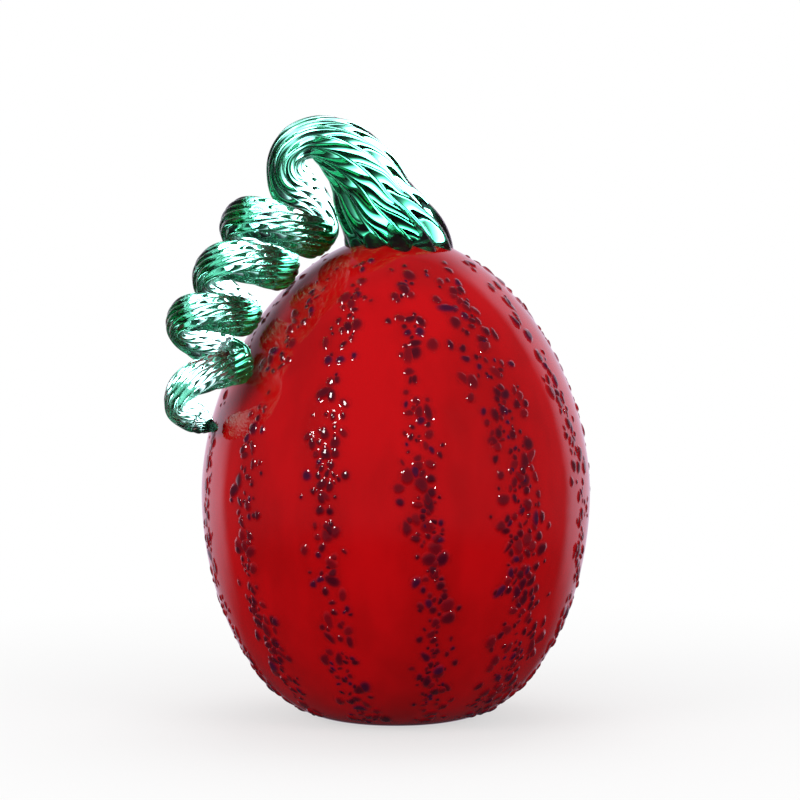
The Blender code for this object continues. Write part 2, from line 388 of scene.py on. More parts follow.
def through(keys, values, at):
    """A smooth curve through the values, read at other keys."""
    keys = np.asarray(keys, float)
    values = np.asarray(values, float)
    slopes = np.gradient(values, keys, axis=0)
    at = np.asarray(at, float)
    left = np.clip(np.searchsorted(keys, at, side="right") - 1, 0, len(keys) - 2)
    span = keys[left + 1] - keys[left]
    part = (at - keys[left]) / span
    if values.ndim > 1:
        span = span[:, None]
        part = part[:, None]
    start = (1 + 2 * part) * (1 - part) ** 2 * values[left]
    leave = part * (1 - part) ** 2 * span * slopes[left]
    end = part**2 * (3 - 2 * part) * values[left + 1]
    arrive = part**2 * (part - 1) * span * slopes[left + 1]
    return start + leave + end + arrive


def unit(vector):
    return vector / np.linalg.norm(vector)


def add_piece(name, mesh, cad_node):
    """A finished mesh as a piece that rides on the pumpkin and stands for a node of the frame."""
    piece = bpy.data.objects.new(name, mesh)
    bpy.context.scene.collection.objects.link(piece)
    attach(piece, "root")
    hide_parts(cad_node)


def mesh_from(work, name, material):
    """Closes a bmesh into a smooth mesh with one material."""
    bmesh.ops.remove_doubles(work, verts=work.verts, dist=WELD)
    bmesh.ops.recalc_face_normals(work, faces=work.faces)
    mesh = bpy.data.meshes.new(name)
    work.to_mesh(mesh)
    work.free()
    mesh.shade_smooth()
    mesh.materials.append(material)
    return mesh


def add_attribute(mesh, name, values):
    attribute = mesh.attributes.new(name, "FLOAT", "POINT")
    attribute.data.foreach_set("value", np.asarray(values, np.float32))


def points_of(mesh):
    points = np.zeros(len(mesh.vertices) * 3, np.float32)
    mesh.vertices.foreach_get("co", points)
    return points.reshape(-1, 3).astype(float)


# Materials

GLASS_IOR = 1.52
WHITE = (1, 1, 1, 1)
SMOOTH = {"interpolation_type": "SMOOTHSTEP"}

# Clouds in the red, drawn out downwards, and where the deep red begins and is full in them
CLOUD_WIDTH = 22 * MILLIMETRE
CLOUD_DRAWN = (1, 1, 0.45)
CLOUD_EDGES = (0.35, 0.68)

# Waves in the skin of glass that has flowed
WAVE_LENGTH = 9 * MILLIMETRE
WAVE_HEIGHT = 0.25 * MILLIMETRE

# Shares of a chip's depth over which its colour goes from thin to dark, and from dark to violet
DARKENING = (0.1, 0.85)
CLEARING = (0.85, 0.97)


def new_material(name):
    material = bpy.data.materials.new(name)
    material.use_nodes = True
    return material, material.node_tree, material.node_tree.nodes["Principled BSDF"]


def in_use(sockets):
    """The sockets that a node uses with its settings."""
    return [entry for entry in sockets if entry.enabled]


def fill(tree, target, values):
    """Sets or links a node's inputs, by name or in order. A node stands for its first output."""
    entries = in_use(target.inputs)
    if isinstance(values, dict):
        entries = [next(entry for entry in entries if entry.name == name) for name in values]
        values = values.values()
    for entry, value in zip(entries, values):
        if isinstance(value, bpy.types.Node):
            value = in_use(value.outputs)[0]
        if isinstance(value, bpy.types.NodeSocket):
            tree.links.new(value, entry)
        else:
            entry.default_value = value


def node(tree, kind, values=(), **settings):
    """Adds a node with its settings and links."""
    added = tree.nodes.new(kind)
    for name, value in settings.items():
        setattr(added, name, value)
    fill(tree, added, values)
    return added


def rgba(colour):
    return (*colour, 1)


def red_glass_colour(tree, body):
    """Cloudy red: the layer of colour lies thicker in soft patches, drawn out downwards."""
    place = node(tree, "ShaderNodeTexCoord").outputs["Object"]
    drawn = node(tree, "ShaderNodeMapping", {"Vector": place, "Scale": CLOUD_DRAWN})
    pattern = {"Vector": drawn, "Scale": 1 / CLOUD_WIDTH, "Detail": 3.0, "Roughness": 0.55}
    clouds = node(tree, "ShaderNodeTexNoise", pattern)
    share = node(tree, "ShaderNodeMapRange", (clouds, *CLOUD_EDGES), **SMOOTH)
    reds = share, rgba(body.red), rgba(body.deep_red)
    return node(tree, "ShaderNodeMix", reds, data_type="RGBA")


def fire_polished_bump(tree):
    """The slow waves of glass that has flowed in the heat, which bend its reflections a little."""
    place = node(tree, "ShaderNodeTexCoord").outputs["Object"]
    pattern = {"Vector": place, "Scale": 1 / WAVE_LENGTH, "Detail": 1.0, "Roughness": 0.4}
    waves = node(tree, "ShaderNodeTexNoise", pattern)
    bump = {"Height": waves, "Strength": 0.35, "Distance": WAVE_HEIGHT}
    return node(tree, "ShaderNodeBump", bump)


def red_body_glass(body, frit):
    """Opaque red furnace glass, blown and fire polished: a deep even colour under a wet gloss."""
    material, tree, shader = new_material("opaque_red_furnace_glass")
    # The body's red is darkened towards the halo colour round each chip, as far as the halo
    # attribute says.
    halo = node(tree, "ShaderNodeAttribute", attribute_name="halo").outputs["Fac"]
    darkened_round_chips = halo, red_glass_colour(tree, body), rgba(frit.halo)
    colour = node(tree, "ShaderNodeMix", darkened_round_chips, data_type="RGBA")
    fill(tree, shader, {"Base Color": colour, "Normal": fire_polished_bump(tree)})
    fill(tree, shader, {"Roughness": 0.04, "IOR": GLASS_IOR})
    return material


def frit_glass(body, frit):
    """Amethyst-black glass chips melted in: near black where thick, wine red where thin."""
    material, tree, shader = new_material("melted_amethyst_frit")
    melt = node(tree, "ShaderNodeAttribute", attribute_name="melt").outputs["Fac"]
    depth = node(tree, "ShaderNodeAttribute", attribute_name="depth").outputs["Fac"]
    colour = rgba(frit.thin)
    for edges, deeper in ((DARKENING, frit.dark), (CLEARING, frit.violet)):
        share = node(tree, "ShaderNodeMapRange", (depth, *edges), **SMOOTH)
        colour = node(tree, "ShaderNodeMix", (share, colour, rgba(deeper)), data_type="RGBA")
    melted = melt, red_glass_colour(tree, body), colour
    colour = node(tree, "ShaderNodeMix", melted, data_type="RGBA")
    fill(tree, shader, {"Base Color": colour, "Normal": fire_polished_bump(tree)})
    fill(tree, shader, {"Roughness": 0.03, "IOR": GLASS_IOR})
    return material


def green_stem_glass(stem):
    """Transparent emerald glass: clear mint where it is thin, and near black where the light has
    come through much of it."""
    material, tree, shader = new_material("transparent_emerald_glass")
    fill(tree, shader, {"Base Color": WHITE, "Transmission Weight": 1.0})
    fill(tree, shader, {"Roughness": 0.0, "IOR": GLASS_IOR})
    absorbing = {"Color": rgba(stem.tint), "Density": stem.strength}
    depth = node(tree, "ShaderNodeVolumeAbsorption", absorbing)
    fill(tree, tree.nodes["Material Output"], {"Volume": depth})
    return material


# Body

BODY_STEPS = 320
OUTER_RINGS = 200
INNER_RINGS = 24
# How far beyond a chip the body is darkened, and how much at most.
HALO_REACH = 0.0012
HALO_STRENGTH = 0.4


def wall_thickness(body, wall, arc):
    """The wall, which thickens from the side to the foot."""
    low = np.clip((arc - wall.belly_arc) / (wall.end - wall.belly_arc), 0, 1)
    return body.side_wall + (body.foot_wall - body.side_wall) * low**2


def body_profile(body, wall):
    """From the middle of the hollow's floor up the inside, out at the neck and down the outside."""
    crown = slice(WALL_SAMPLES)
    neck_arc = np.interp(body.neck_radius, wall.points[crown, 0], wall.arcs[crown])
    outer = wall.section(np.linspace(neck_arc, wall.end, OUTER_RINGS), 0)
    arcs = np.linspace(neck_arc, wall.end, INNER_RINGS)
    inner = np.array([wall.section(arc, -wall_thickness(body, wall, arc)) for arc in arcs])
    inner[0, 0] = body.neck_radius
    return [(0, body.foot_wall), *inner[::-1], *outer, (0, 0)]


def halo_round(points, centres, radii):
    """How much darker red lies at each point: 1 by a chip, 0 beyond its reach."""
    tree = KDTree(len(centres))
    for index, centre in enumerate(centres):
        tree.insert(centre, index)
    tree.balance()
    halo = np.zeros(len(points))
    for spot, point in enumerate(points):
        for _, index, apart in tree.find_range(point, radii.max() + HALO_REACH):
            near = min(1, max(0, (radii[index] + HALO_REACH - apart) / HALO_REACH))
            halo[spot] = max(halo[spot], near * near * (3 - 2 * near))
    return halo


class GLASS_PUMPKIN_OT_body(bpy.types.Operator):
    """Spin the hollow red body and darken it round the chips"""

    bl_idname = "glass_pumpkin.body"
    bl_label = "Red body"

    def execute(self, context):
        settings = context.scene.glass_pumpkin
        wall = Wall(settings.body)
        work = bmesh.new()
        profile = body_profile(settings.body, wall)
        corners = [work.verts.new((radius, 0, height)) for radius, height in profile]
        edges = [work.edges.new(pair) for pair in zip(corners, corners[1:])]
        bmesh.ops.spin(
            work,
            geom=corners + edges,
            cent=(0, 0, 0),
            axis=(0, 0, 1),
            angle=2 * math.pi,
            steps=BODY_STEPS,
            use_merge=True,
        )
        mesh = mesh_from(work, "body_glass", red_body_glass(settings.body, settings.frit))
        stripes = range(len(STRIPES))
        chips = np.concatenate([scattered(number, settings.frit, wall) for number in stripes])
        centres = wall.placed(chips[:, 0], chips[:, 1], 0)
        radii = np.sqrt(chips[:, 2] * chips[:, 3])
        halo = halo_round(points_of(mesh), centres, radii)
        add_attribute(mesh, "halo", HALO_STRENGTH * halo)
        add_piece("body_glass", mesh, "red_body")
        return {"FINISHED"}


# Frit

# A stripe begins this far below the stem's foot and ends at this height. Its width follows the
# body's radius to these powers, over and under the belly.
STRIPE_START_GAP = 0.0035
STRIPE_END_HEIGHT = 0.003
NARROWING = (0.5, 0.2)

# How chips lie in a stripe: more of them lower down, and spread about its middle in half widths.
# One that is nearer another than this share of their radii together has a small chance to stay.
LOWER_DENSITY = 0.72
ACROSS_SPREAD = 0.5
ACROSS_LIMIT = 1.25
CLEAR_SHARE = 0.66
OVERLAP_CHANCE = 0.2
MOST_TRIES = 4000

# How chips differ: size, length to width, turn off the stripe, height, thickness of their colour,
# waves of their outline and tilt. Heights and tilts are held to a share of the usual ones.
SIZE_SPREAD = 0.48
SIZE_LIMITS = (0.5, 2.1)
STRETCH_SPREAD = 0.45
TURN_SPREAD = 0.45
CROSSWISE_CHANCE = 0.12
HEIGHT_LIMITS = (0.55, 1.35)
HEIGHT_CAP = 1.3
DEPTH_LIMITS = (0.15, 1)
WAVE_LIMIT = 0.17
THIRD_WAVE = 0.7
CHIP_TILT = 0.08
TILT_CAP = 0.7

# A chip's rings from its skirt to its crown: share of its outline, reach beyond it, share of its
# height, and how much of the dark glass shows there.
CHIP_SIDES = 12
CHIP_RINGS = (
    (1.00, 0.00080, -0.05, 0.00),
    (1.00, 0.00028, 0.12, 0.22),
    (0.92, 0.00000, 0.42, 0.55),
    (0.74, 0.00000, 0.74, 0.85),
    (0.42, 0.00000, 0.93, 1.00),
    (0.00, 0.00000, 1.00, 1.00),
)


def stripe_line(number, wall, arcs):
    """Azimuth of the middle of a stripe, and half its width, at arcs down the wall."""
    top, belly, foot, width, _ = STRIPES[number]
    keys = (FOOT_RADIUS + STRIPE_START_GAP, wall.belly_arc, wall.arc_at(STRIPE_END_HEIGHT))
    azimuth = through(keys, (top, belly, foot), arcs)
    radius = wall.section(arcs, 0)[..., 0]
    narrowed = np.where(arcs < wall.belly_arc, *NARROWING)
    return azimuth, width / 2 * (radius / wall.points[:, 0].max()) ** narrowed


def scattered(number, frit, wall):
    """Chips of a stripe: arc, azimuth, half length, half width, turn, height, depth, the size and
    phases of the outline's waves, and tilt down and to the side."""
    chance = np.random.default_rng(frit.seed + 100 * number)
    start = FOOT_RADIUS + STRIPE_START_GAP
    end = wall.arc_at(STRIPE_END_HEIGHT)
    chips = []
    places = []
    tries = 0
    while len(chips) < STRIPES[number][-1] and tries < MOST_TRIES:
        tries += 1
        arc = start + (end - start) * chance.uniform() ** LOWER_DENSITY
        middle, half = stripe_line(number, wall, np.array([arc]))
        spread = np.clip(chance.normal(0, ACROSS_SPREAD), -ACROSS_LIMIT, ACROSS_LIMIT)
        azimuth = middle[0] + math.degrees(spread * half[0] / wall.section(arc, 0)[0])
        size = frit.radius * np.clip(chance.lognormal(0, SIZE_SPREAD), *SIZE_LIMITS)
        stretch = 1 + abs(chance.normal(0, STRETCH_SPREAD))
        length, width = size * math.sqrt(stretch), size / math.sqrt(stretch)
        place = wall.placed(arc, azimuth, 0)
        crowded = any(
            np.linalg.norm(place - other) < CLEAR_SHARE * (size + reach)
            for other, reach in places
        )
        if crowded and chance.uniform() > OVERLAP_CHANCE:
            continue
        turn = chance.normal(0, TURN_SPREAD)
        turn += math.pi / 2 if chance.uniform() < CROSSWISE_CHANCE else 0
        height = frit.height * chance.uniform(*HEIGHT_LIMITS) * min(HEIGHT_CAP, size / frit.radius)
        depth = chance.uniform(*DEPTH_LIMITS)
        waves = chance.uniform(0, WAVE_LIMIT), *chance.uniform(0, 2 * math.pi, 2)
        tilt = chance.normal(0, CHIP_TILT, 2)
        chips.append((arc, azimuth, length, width, turn, height, depth, *waves, *tilt))
        places.append((place, size))
    return np.array(chips)


def ring_values(corners):
    """For each corner of the template, the row of its ring."""
    return np.array(CHIP_RINGS)[np.round(corners[:, 2]).astype(int)]


def chip_template():
    """A chip as a stack of rings: each corner's height is its ring's number, ready to be shaped."""
    work = bmesh.new()
    rings = len(CHIP_RINGS)
    bmesh.ops.create_circle(work, cap_ends=True, segments=CHIP_SIDES, radius=rings)
    rim = list(work.edges)
    for edge in rim:
        edge.smooth = False
    for ring in range(1, rings):
        grown = bmesh.ops.extrude_edge_only(work, edges=rim)["geom"]
        corners = [part for part in grown if isinstance(part, bmesh.types.BMVert)]
        rim = [part for part in grown if isinstance(part, bmesh.types.BMEdge) and part.is_boundary]
        narrower = (rings - ring) / (rings - ring + 1)
        bmesh.ops.scale(work, vec=(narrower, narrower, 1), verts=corners)
        bmesh.ops.translate(work, vec=(0, 0, 1), verts=corners)
    bmesh.ops.pointmerge(work, verts=corners, merge_co=(0, 0, rings - 1))
    bmesh.ops.recalc_face_normals(work, faces=work.faces)
    mesh = bpy.data.meshes.new("chip")
    work.to_mesh(mesh)
    work.free()
    return mesh


def shaped(chip, corners, wall):
    """The template's corners laid on the wall as one chip."""
    arc, azimuth, length, width, turn, height, _, wave, two, three, slope_down, slope_side = chip
    share, beyond, rise, _ = ring_values(corners).T
    angle = np.arctan2(corners[:, 1], corners[:, 0])
    outline = 1 + wave * np.cos(2 * angle + two) + THIRD_WAVE * wave * np.cos(3 * angle + three)
    long_way = np.cos(angle) * (share * outline * length + beyond)
    wide_way = np.sin(angle) * (share * outline * width + beyond)
    down = long_way * math.cos(turn) - wide_way * math.sin(turn)
    side = long_way * math.sin(turn) + wide_way * math.cos(turn)
    arcs = np.minimum(arc + down, wall.end)
    radius = wall.section(arcs, 0)[:, 0]
    slope = slope_down * down + slope_side * side
    lift = rise * (height + np.clip(slope, -TILT_CAP * height, TILT_CAP * height))
    return wall.placed(arcs, azimuth + np.degrees(side / radius), lift)


class GLASS_PUMPKIN_OT_frit(bpy.types.Operator):
    """Melt the stripes of dark chips on to the body"""

    bl_idname = "glass_pumpkin.frit"
    bl_label = "Frit stripes"

    def execute(self, context):
        settings = context.scene.glass_pumpkin
        wall = Wall(settings.body)
        material = frit_glass(settings.body, settings.frit)
        template = chip_template()
        corners = points_of(template)
        melt = ring_values(corners)[:, 3]
        for number in range(len(STRIPES)):
            chips = scattered(number, settings.frit, wall)
            work = bmesh.new()
            for _ in chips:
                work.from_mesh(template)
            places = np.concatenate([shaped(chip, corners, wall) for chip in chips])
            for vertex, place in zip(work.verts, places):
                vertex.co = place
            mesh = bpy.data.meshes.new(f"frit_chips_{number + 1:02d}")
            work.to_mesh(mesh)
            work.free()
            mesh.shade_smooth()
            mesh.materials.append(material)
            add_attribute(mesh, "melt", np.tile(melt, len(chips)))
            add_attribute(mesh, "depth", np.repeat(chips[:, 6], len(corners)))
            add_piece(mesh.name, mesh, f"frit_stripe_{number + 1:02d}")
        bpy.data.meshes.remove(template)
        return {"FINISHED"}


# Stem

STEM_STEP = 0.0009
POINTS_PER_RIB = 10
WALK_STEP = 0.0001

# The curl lies this far off the body, and the push that lays it there comes on this softly
REST_HEIGHT = 0.0021
PUSH_SOFTNESS = 0.0005

# Length of rod over which its bend is taken together, and over which the foot's deep ribs fade
BEND_REACH = 0.0114
FOOT_RIB_REACH = 0.016

# Depth of the stem's foot under the red skin, and how far its crests lie inside the CAD stem's
SUNK = 0.0003
CREST_INSET = 0.00038

# Rings that round off the tip, as angles in degrees, and that close the foot, as shares
TIP_ANGLES = (25, 50, 70, 85)
FOOT_SHARES = (0.03, 0.3, 0.6, 0.85)


def turn_apart(row, centre, last):
    """How far this turn's axis is from what it must clear, and how far it should be."""
    if last is None:
        reach = COIL_RADIUS[row] * math.cos(math.radians(TURN_TILT[row]))
        thickness = CURL_FLATNESS * ROD_RADIUS[row]
        return math.hypot(centre[0], centre[1]), FOOT_RADIUS + thickness + reach + TURN_GAP[row]
    return np.linalg.norm(centre - last), ROD_RADIUS[row - 1] + ROD_RADIUS[row] + TURN_GAP[row]


def curl_axis(wall):
    """The axis point of each row, laid down the body so that the rows keep clear of each other."""
    centres = []
    arc = 0
    for row in range(len(TURNS)):
        last = centres[-1] if centres else None
        centre = wall.placed(arc, TURN_AZIMUTH[row], TURN_LIFT[row])
        apart, clear = turn_apart(row, centre, last)
        while apart < clear:
            arc += WALK_STEP
            centre = wall.placed(arc, TURN_AZIMUTH[row], TURN_LIFT[row])
            apart, clear = turn_apart(row, centre, last)
        centres.append(centre)
    return centres, arc


def curl(wall):
    """Rows of point, radius and flatness along the curl, and where on the body it ends."""
    centres, last_arc = curl_axis(wall)
    turns = np.linspace(0, TURNS[-1], round(TURNS[-1] * POINTS_PER_TURN) + 1)
    middle = through(TURNS, centres, turns)
    coil = through(TURNS, COIL_RADIUS, turns)
    rod = through(TURNS, ROD_RADIUS, turns)
    tilt = np.radians(through(TURNS, TURN_TILT, turns))
    front = np.array((0, -math.cos(FRONT_LIFT), math.sin(FRONT_LIFT)))
    rows = []
    for index, turn in enumerate(turns):
        angle = 2 * math.pi * turn
        right = np.array((math.cos(tilt[index]), 0, -math.sin(tilt[index])))
        around = math.cos(angle) * right + math.sin(angle) * front
        rows.append((*(middle[index] + coil[index] * around), rod[index], CURL_FLATNESS))
    return rows, last_arc


def stem_route(wall):
    """Even points, radii and flatness from inside the crown to the tip, and how each one hangs:
    0 on the arch, and 1 from a foot's radius down the curl."""
    rows = [(x, y, wall.crown_top + rise, radius, flat) for x, y, rise, radius, flat in ARCH]
    turn_rows, last_arc = curl(wall)
    for way, azimuth, lift, radius in TAIL:
        turn_rows.append((*wall.placed(last_arc + way, azimuth, lift), radius, 1))
    rows = np.array(rows + turn_rows)
    way = distance_along(rows[:, :3])
    even = np.linspace(0, way[-1], round(way[-1] / STEM_STEP) + 1)
    route = through(way, rows, even)
    hanging = np.clip((even - way[len(ARCH) - 1]) / FOOT_RADIUS, 0, 1)
    return route[:, :3], route[:, 3], route[:, 4], hanging


def frames(points):
    """At each point the rod's direction, a side carried along untwisted, and the bend's axis, along
    which the rod is widest."""
    along = [unit(step) for step in np.gradient(points, axis=0)]
    bends = [np.cross(along[index - 1], along[index]) for index in range(1, len(along))]
    bends = np.array([bends[0], *bends])
    reach = round(BEND_REACH / STEM_STEP)
    side = np.array((1, 0, 0))
    result = []
    for index, direction in enumerate(along):
        side = unit(side - side @ direction * direction)
        near = bends[max(0, index - reach) : index + reach + 1].sum(axis=0)
        result.append((direction, side, unit(near - near @ direction * direction)))
    return result


def laid_on_body(points, radii, flatness, hanging, wall):
    """The points, moved straight out where the curl would come nearer than the frit stands."""
    distances, outwards = wall.stand_off(points)
    moved = []
    for index, (direction, _, wide) in enumerate(frames(points)):
        outward = outwards[index]
        thin = np.cross(direction, wide)
        reach = radii[index] * math.hypot(outward @ wide, flatness[index] * (outward @ thin))
        short = reach + REST_HEIGHT - distances[index]
        push = (short + math.hypot(short, PUSH_SOFTNESS)) / 2
        moved.append(points[index] + hanging[index] * push * outward)
    return np.array(moved)


def ribbed_ring(stem, rod, radius, flat, depth, twist):
    """Round ribs with sharp valleys between, turned by twist and pressed flat across the bend."""
    direction, side, wide = rod
    up = np.cross(direction, side)
    spots = stem.ribs * POINTS_PER_RIB
    angle = 2 * math.pi * np.arange(spots) / spots
    lobe = np.abs(np.sin(stem.ribs * angle / 2))
    around = np.outer(np.cos(angle + twist), side) + np.outer(np.sin(angle + twist), up)
    broad = around @ wide
    squash = np.hypot(broad, np.sqrt(np.maximum(0, 1 - broad**2)) / flat)
    return (radius * (1 - depth * (1 - lobe)) / squash)[:, None] * around


def stem_rings(stem, wall):
    """The rod's ribbed rings, with its foot melted down on the body and its tip drawn round."""
    points, radii, flatness, hanging = stem_route(wall)
    points = laid_on_body(points, radii, flatness, hanging, wall)
    way = distance_along(points)
    extra = stem.foot_rib_depth - stem.rib_depth
    twist = 0
    rings = []
    for index, rod in enumerate(frames(points)):
        if index:
            twist -= math.tan(stem.rib_angle) * (way[index] - way[index - 1]) / radii[index]
        depth = stem.rib_depth + extra * math.exp(-((way[index] / FOOT_RIB_REACH) ** 2))
        ring = ribbed_ring(stem, rod, radii[index] - CREST_INSET, flatness[index], depth, twist)
        rings.append(points[index] + ring)
    direction = unit(points[-1] - points[-2])
    last = rings[-1] - points[-1]
    for angle in np.radians(TIP_ANGLES):
        tip = points[-1] + radii[-1] * math.sin(angle) * direction
        rings.append(tip + math.cos(angle) * last)
    sunk = [wall.stand_off(ring)[0].max() < -SUNK for ring in rings]
    first = sunk.index(False) - 1
    foot = [points[first] + share * (rings[first] - points[first]) for share in FOOT_SHARES]
    return [melted_down(ring, wall) for ring in foot + rings[first:]]


def melted_down(ring, wall):
    """Points under the body's skin are brought up to lie just inside it."""
    distance, outward = wall.stand_off(ring)
    return ring + np.maximum(0, -SUNK - distance)[:, None] * outward


class GLASS_PUMPKIN_OT_stem(bpy.types.Operator):
    """Pull, twist and curl the green stem"""

    bl_idname = "glass_pumpkin.stem"
    bl_label = "Green stem"

    def execute(self, context):
        settings = context.scene.glass_pumpkin
        rings = stem_rings(settings.stem, Wall(settings.body))
        rows, sides = len(rings) - 1, len(rings[0])
        work = bmesh.new()
        bmesh.ops.create_grid(work, x_segments=rows, y_segments=sides, size=1)
        for vertex in work.verts:
            row = round((vertex.co.x + 1) / 2 * rows)
            spot = round((vertex.co.y + 1) / 2 * sides) % sides
            vertex.co = rings[row][spot]
        bmesh.ops.remove_doubles(work, verts=work.verts, dist=WELD)
        bmesh.ops.holes_fill(work, edges=work.edges, sides=sides)
        mesh = mesh_from(work, "stem_glass", green_stem_glass(settings.stem))
        add_piece("stem_glass", mesh, "green_stem")
        return {"FINISHED"}


# Stage

FLOOR_RADIUS = 3.0
FLOOR_STEPS = 96

# Where the camera and the softboxes point
AIM = (0.0014, 0.0006, 0.1061)

# The paper as the camera sees it and as it lights the pumpkin, and how its own white grows from
# the pumpkin outwards: from which to which distance, and from which to which share
PAPER_SEEN = "F3F3F3"
PAPER_LIT = "AAAAAA"
SHADOW_REACH = (0.06, 0.28)
WHITE_SHARES = (0.6, 1.0)

# What gloss reflects: a dim room, darker near the floor, and a white backdrop behind the pumpkin.
# A pair is where an edge begins and ends, along Z for the room's foot. For the backdrop it is along
# Y at the sides, Z at the foot and a slant at the top, above which a share of it is left.
ROOM_FOOT = (-0.34, -0.12)
ROOM_FLOOR = 0.055
ROOM_LEVEL = 0.14
BACKDROP_SIDES = (0.46, 0.64)
BACKDROP_FOOT = (-0.42, -0.08)
BACKDROP_SLANT = (-0.45, 0, 1)
BACKDROP_TOP = (0.30, 0.65)
BACKDROP_ABOVE = 0.25
GLOSS_TINT = "F6E8FF"

# What clear glass bends into view: a sweep that is bright along SWEEP_SIDE, weaker the opposite
# way, and dark between, more so upwards. It grows by equal ratios from its dark to its bright
# level. A ray that bounced off gloss first has softer levels, and off a matt surface a dim one.
SWEEP_SIDE = (-0.6, 0.6, 0)
SWEEP_FALL = -0.45
SWEEP_EDGE = (0.30, 0.88)
SWEEP_DARK = 0.002
SWEEP_BRIGHT = 24.0
SWEEP_TURN = (-0.1, 0.1)
SWEEP_OPPOSITE = 0.2
REFLECTED_LEVELS = (0.04, 1.8)
SHADED_LEVEL = 0.05

# Softboxes: name, azimuth, elevation, distance, width, height, power in watts, and whether they
# are there for the gloss of the chips alone
SOFTBOXES = (
    ("strip_left", -44, 32, 1.4, 0.20, 0.46, 8.2, True),
    ("pin_right", 44, 20, 1.4, 0.05, 0.05, 1.0, True),
    ("fill_left", -52, 18, 1.6, 0.8, 0.8, 10.0, False),
    ("fill_right", 48, 18, 1.6, 0.8, 0.8, 8.2, False),
    ("bank_top", 170, 68, 1.3, 0.9, 0.7, 4.0, False),
)


def from_aim(azimuth, elevation, distance):
    """A point seen from the pumpkin at an azimuth from the front, an elevation and a distance."""
    flat = distance * math.cos(elevation)
    right, front = flat * math.sin(azimuth), flat * math.cos(azimuth)
    return Vector(AIM) + Vector((right, -front, distance * math.sin(elevation)))


def aimed(data, name, place):
    thing = bpy.data.objects.new(name, data)
    thing.location = place
    thing.rotation_euler = (Vector(AIM) - place).to_track_quat("-Z", "Y").to_euler()
    bpy.context.scene.collection.objects.link(thing)
    return thing


def add_camera(stage):
    camera = bpy.data.cameras.new("camera")
    camera.lens = camera.sensor_width * stage.camera_distance / stage.field
    place = from_aim(0, stage.camera_height, stage.camera_distance)
    bpy.context.scene.camera = aimed(camera, "camera", place)


def chips_only():
    """The chips, which stand proud of the body and alone catch the strip and pin lights."""
    chips = bpy.data.collections.new("chips_only")
    for thing in bpy.data.objects:
        if thing.name.startswith("frit_chips"):
            chips.objects.link(thing)
    return chips


def add_softboxes():
    chips = chips_only()
    for name, azimuth, elevation, distance, width, height, power, for_gloss in SOFTBOXES:
        lamp = bpy.data.lights.new(name, "AREA")
        lamp.shape = "RECTANGLE"
        lamp.size = width
        lamp.size_y = height
        lamp.energy = power
        place = from_aim(math.radians(azimuth), math.radians(elevation), distance)
        box = aimed(lamp, name, place)
        box.visible_glossy = for_gloss
        box.visible_transmission = False
        if for_gloss:
            box.light_linking.receiver_collection = chips
            box.visible_diffuse = False


def level_in_gloss(tree, way, up):
    """How bright each direction is to a glossy ray."""
    ahead = node(tree, "ShaderNodeSeparateXYZ", {"Vector": way}).outputs["Y"]
    slant = node(tree, "ShaderNodeVectorMath", (way, BACKDROP_SLANT), operation="DOT_PRODUCT")
    share = node(tree, "ShaderNodeMapRange", (ahead, *BACKDROP_SIDES), **SMOOTH)
    for edge in ((up, *BACKDROP_FOOT), (slant, *BACKDROP_TOP, 1.0, BACKDROP_ABOVE)):
        step = node(tree, "ShaderNodeMapRange", edge, **SMOOTH)
        share = node(tree, "ShaderNodeMath", (share, step), operation="MULTIPLY")
    walls = up, *ROOM_FOOT, ROOM_FLOOR, ROOM_LEVEL
    room = node(tree, "ShaderNodeMapRange", walls, **SMOOTH)
    return node(tree, "ShaderNodeMix", (share, room, 1.0))


def level_through_glass(tree, way, up, ray):
    """How bright each direction is to a ray that has come through the stem."""
    side = node(tree, "ShaderNodeVectorMath", (way, SWEEP_SIDE), operation="DOT_PRODUCT")
    either = node(tree, "ShaderNodeMath", (side,), operation="ABSOLUTE")
    reach = node(tree, "ShaderNodeMath", (up, SWEEP_FALL, either), operation="MULTIPLY_ADD")
    share = node(tree, "ShaderNodeMapRange", (reach, *SWEEP_EDGE), **SMOOTH)
    times = node(tree, "ShaderNodeMath", (SWEEP_BRIGHT / SWEEP_DARK, share), operation="POWER")
    sweep = node(tree, "ShaderNodeMath", (SWEEP_DARK, times), operation="MULTIPLY")
    halves = side, *SWEEP_TURN, SWEEP_OPPOSITE, 1.0
    half = node(tree, "ShaderNodeMapRange", halves, **SMOOTH)
    level = node(tree, "ShaderNodeMath", (sweep, half), operation="MULTIPLY")
    soft = reach, *SWEEP_EDGE, *REFLECTED_LEVELS
    reflected = node(tree, "ShaderNodeMapRange", soft, **SMOOTH)
    for depth, dimmed in (("Glossy Depth", reflected), ("Diffuse Depth", SHADED_LEVEL)):
        bounced = node(tree, "ShaderNodeMath", (ray.outputs[depth], 0), operation="GREATER_THAN")
        level = node(tree, "ShaderNodeMix", (bounced, level, dimmed))
    return level


def add_studio(stage):
    """A white studio, as matt surfaces, gloss, clear glass and the camera each see it."""
    world = bpy.data.worlds.new("studio")
    world.use_nodes = True
    bpy.context.scene.world = world
    tree = world.node_tree
    ray = node(tree, "ShaderNodeLightPath")
    way = node(tree, "ShaderNodeTexCoord").outputs["Generated"]
    up = node(tree, "ShaderNodeSeparateXYZ", {"Vector": way}).outputs["Z"]
    sights = (
        ("Is Glossy Ray", level_in_gloss(tree, way, up)),
        ("Is Transmission Ray", level_through_glass(tree, way, up, ray)),
        ("Is Camera Ray", 1.0),
    )
    level = stage.ambient
    for kind, seen in sights:
        level = node(tree, "ShaderNodeMix", (ray.outputs[kind], level, seen))
    tints = ray.outputs["Is Glossy Ray"], WHITE, rgba(linear(GLOSS_TINT))
    colour = node(tree, "ShaderNodeMix", tints, data_type="RGBA")
    fill(tree, tree.nodes["Background"], {"Color": colour, "Strength": level})


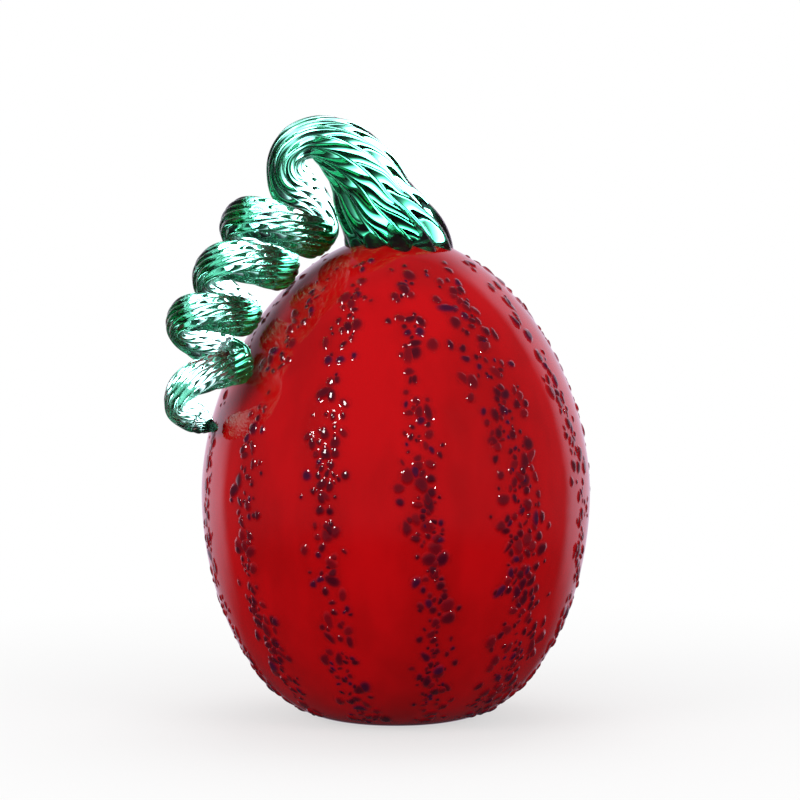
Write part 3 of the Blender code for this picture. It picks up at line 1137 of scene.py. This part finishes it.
def white_floor():
    """Matt white paper: pale to the camera, and it keeps the soft shadow under the pumpkin."""
    material, tree, shader = new_material("white_paper_sweep")
    seen = node(tree, "ShaderNodeLightPath").outputs["Is Camera Ray"]
    papers = seen, rgba(linear(PAPER_LIT)), rgba(linear(PAPER_SEEN))
    paper = node(tree, "ShaderNodeMix", papers, data_type="RGBA")
    fill(tree, shader, {"Base Color": paper, "Roughness": 0.9})
    glow = node(tree, "ShaderNodeEmission", {"Color": WHITE, "Strength": 1.0})
    place = node(tree, "ShaderNodeTexCoord").outputs["Object"]
    away = node(tree, "ShaderNodeVectorMath", (place,), operation="LENGTH")
    white = node(tree, "ShaderNodeMapRange", (away, *SHADOW_REACH, *WHITE_SHARES))
    share = node(tree, "ShaderNodeMath", (white, seen), operation="MULTIPLY")
    both = node(tree, "ShaderNodeMixShader", (share, shader, glow))
    fill(tree, tree.nodes["Material Output"], {"Surface": both})
    return material


def add_floor():
    work = bmesh.new()
    bmesh.ops.create_circle(work, cap_ends=True, segments=FLOOR_STEPS, radius=FLOOR_RADIUS)
    mesh = bpy.data.meshes.new("floor")
    work.to_mesh(mesh)
    work.free()
    mesh.materials.append(white_floor())
    floor = bpy.data.objects.new("floor", mesh)
    floor.visible_glossy = False
    floor.visible_transmission = False
    bpy.context.scene.collection.objects.link(floor)


class GLASS_PUMPKIN_OT_stage(bpy.types.Operator):
    """Set the floor, the studio, its softboxes and the camera"""

    bl_idname = "glass_pumpkin.stage"
    bl_label = "Stage"

    def execute(self, context):
        stage = context.scene.glass_pumpkin.stage
        context.scene.view_settings.view_transform = "Standard"
        add_camera(stage)
        add_studio(stage)
        add_softboxes()
        add_floor()
        return {"FINISHED"}


class GLASS_PUMPKIN_PT_panel(bpy.types.Panel):
    bl_label = "Glass pumpkin"
    bl_idname = "GLASS_PUMPKIN_PT_panel"
    bl_space_type = "VIEW_3D"
    bl_region_type = "UI"
    bl_category = "Glass pumpkin"

    def draw(self, context):
        settings = context.scene.glass_pumpkin
        for name in ("body", "frit", "stem", "stage"):
            box = self.layout.box()
            group = getattr(settings, name)
            for field in group.__annotations__:
                box.prop(group, field)
            box.operator(f"glass_pumpkin.{name}")


CLASSES = (
    BodySettings,
    StemSettings,
    FritSettings,
    StageSettings,
    PumpkinSettings,
    GLASS_PUMPKIN_OT_body,
    GLASS_PUMPKIN_OT_frit,
    GLASS_PUMPKIN_OT_stem,
    GLASS_PUMPKIN_OT_stage,
    GLASS_PUMPKIN_PT_panel,
)


def register():
    for entry in CLASSES:
        bpy.utils.register_class(entry)
    bpy.types.Scene.glass_pumpkin = PointerProperty(type=PumpkinSettings)


def unregister():
    del bpy.types.Scene.glass_pumpkin
    for entry in reversed(CLASSES):
        bpy.utils.unregister_class(entry)


def main():
    register()
    bpy.ops.glass_pumpkin.body()
    bpy.ops.glass_pumpkin.frit()
    bpy.ops.glass_pumpkin.stem()
    bpy.ops.glass_pumpkin.stage()


if __name__ == "__main__":
    main()
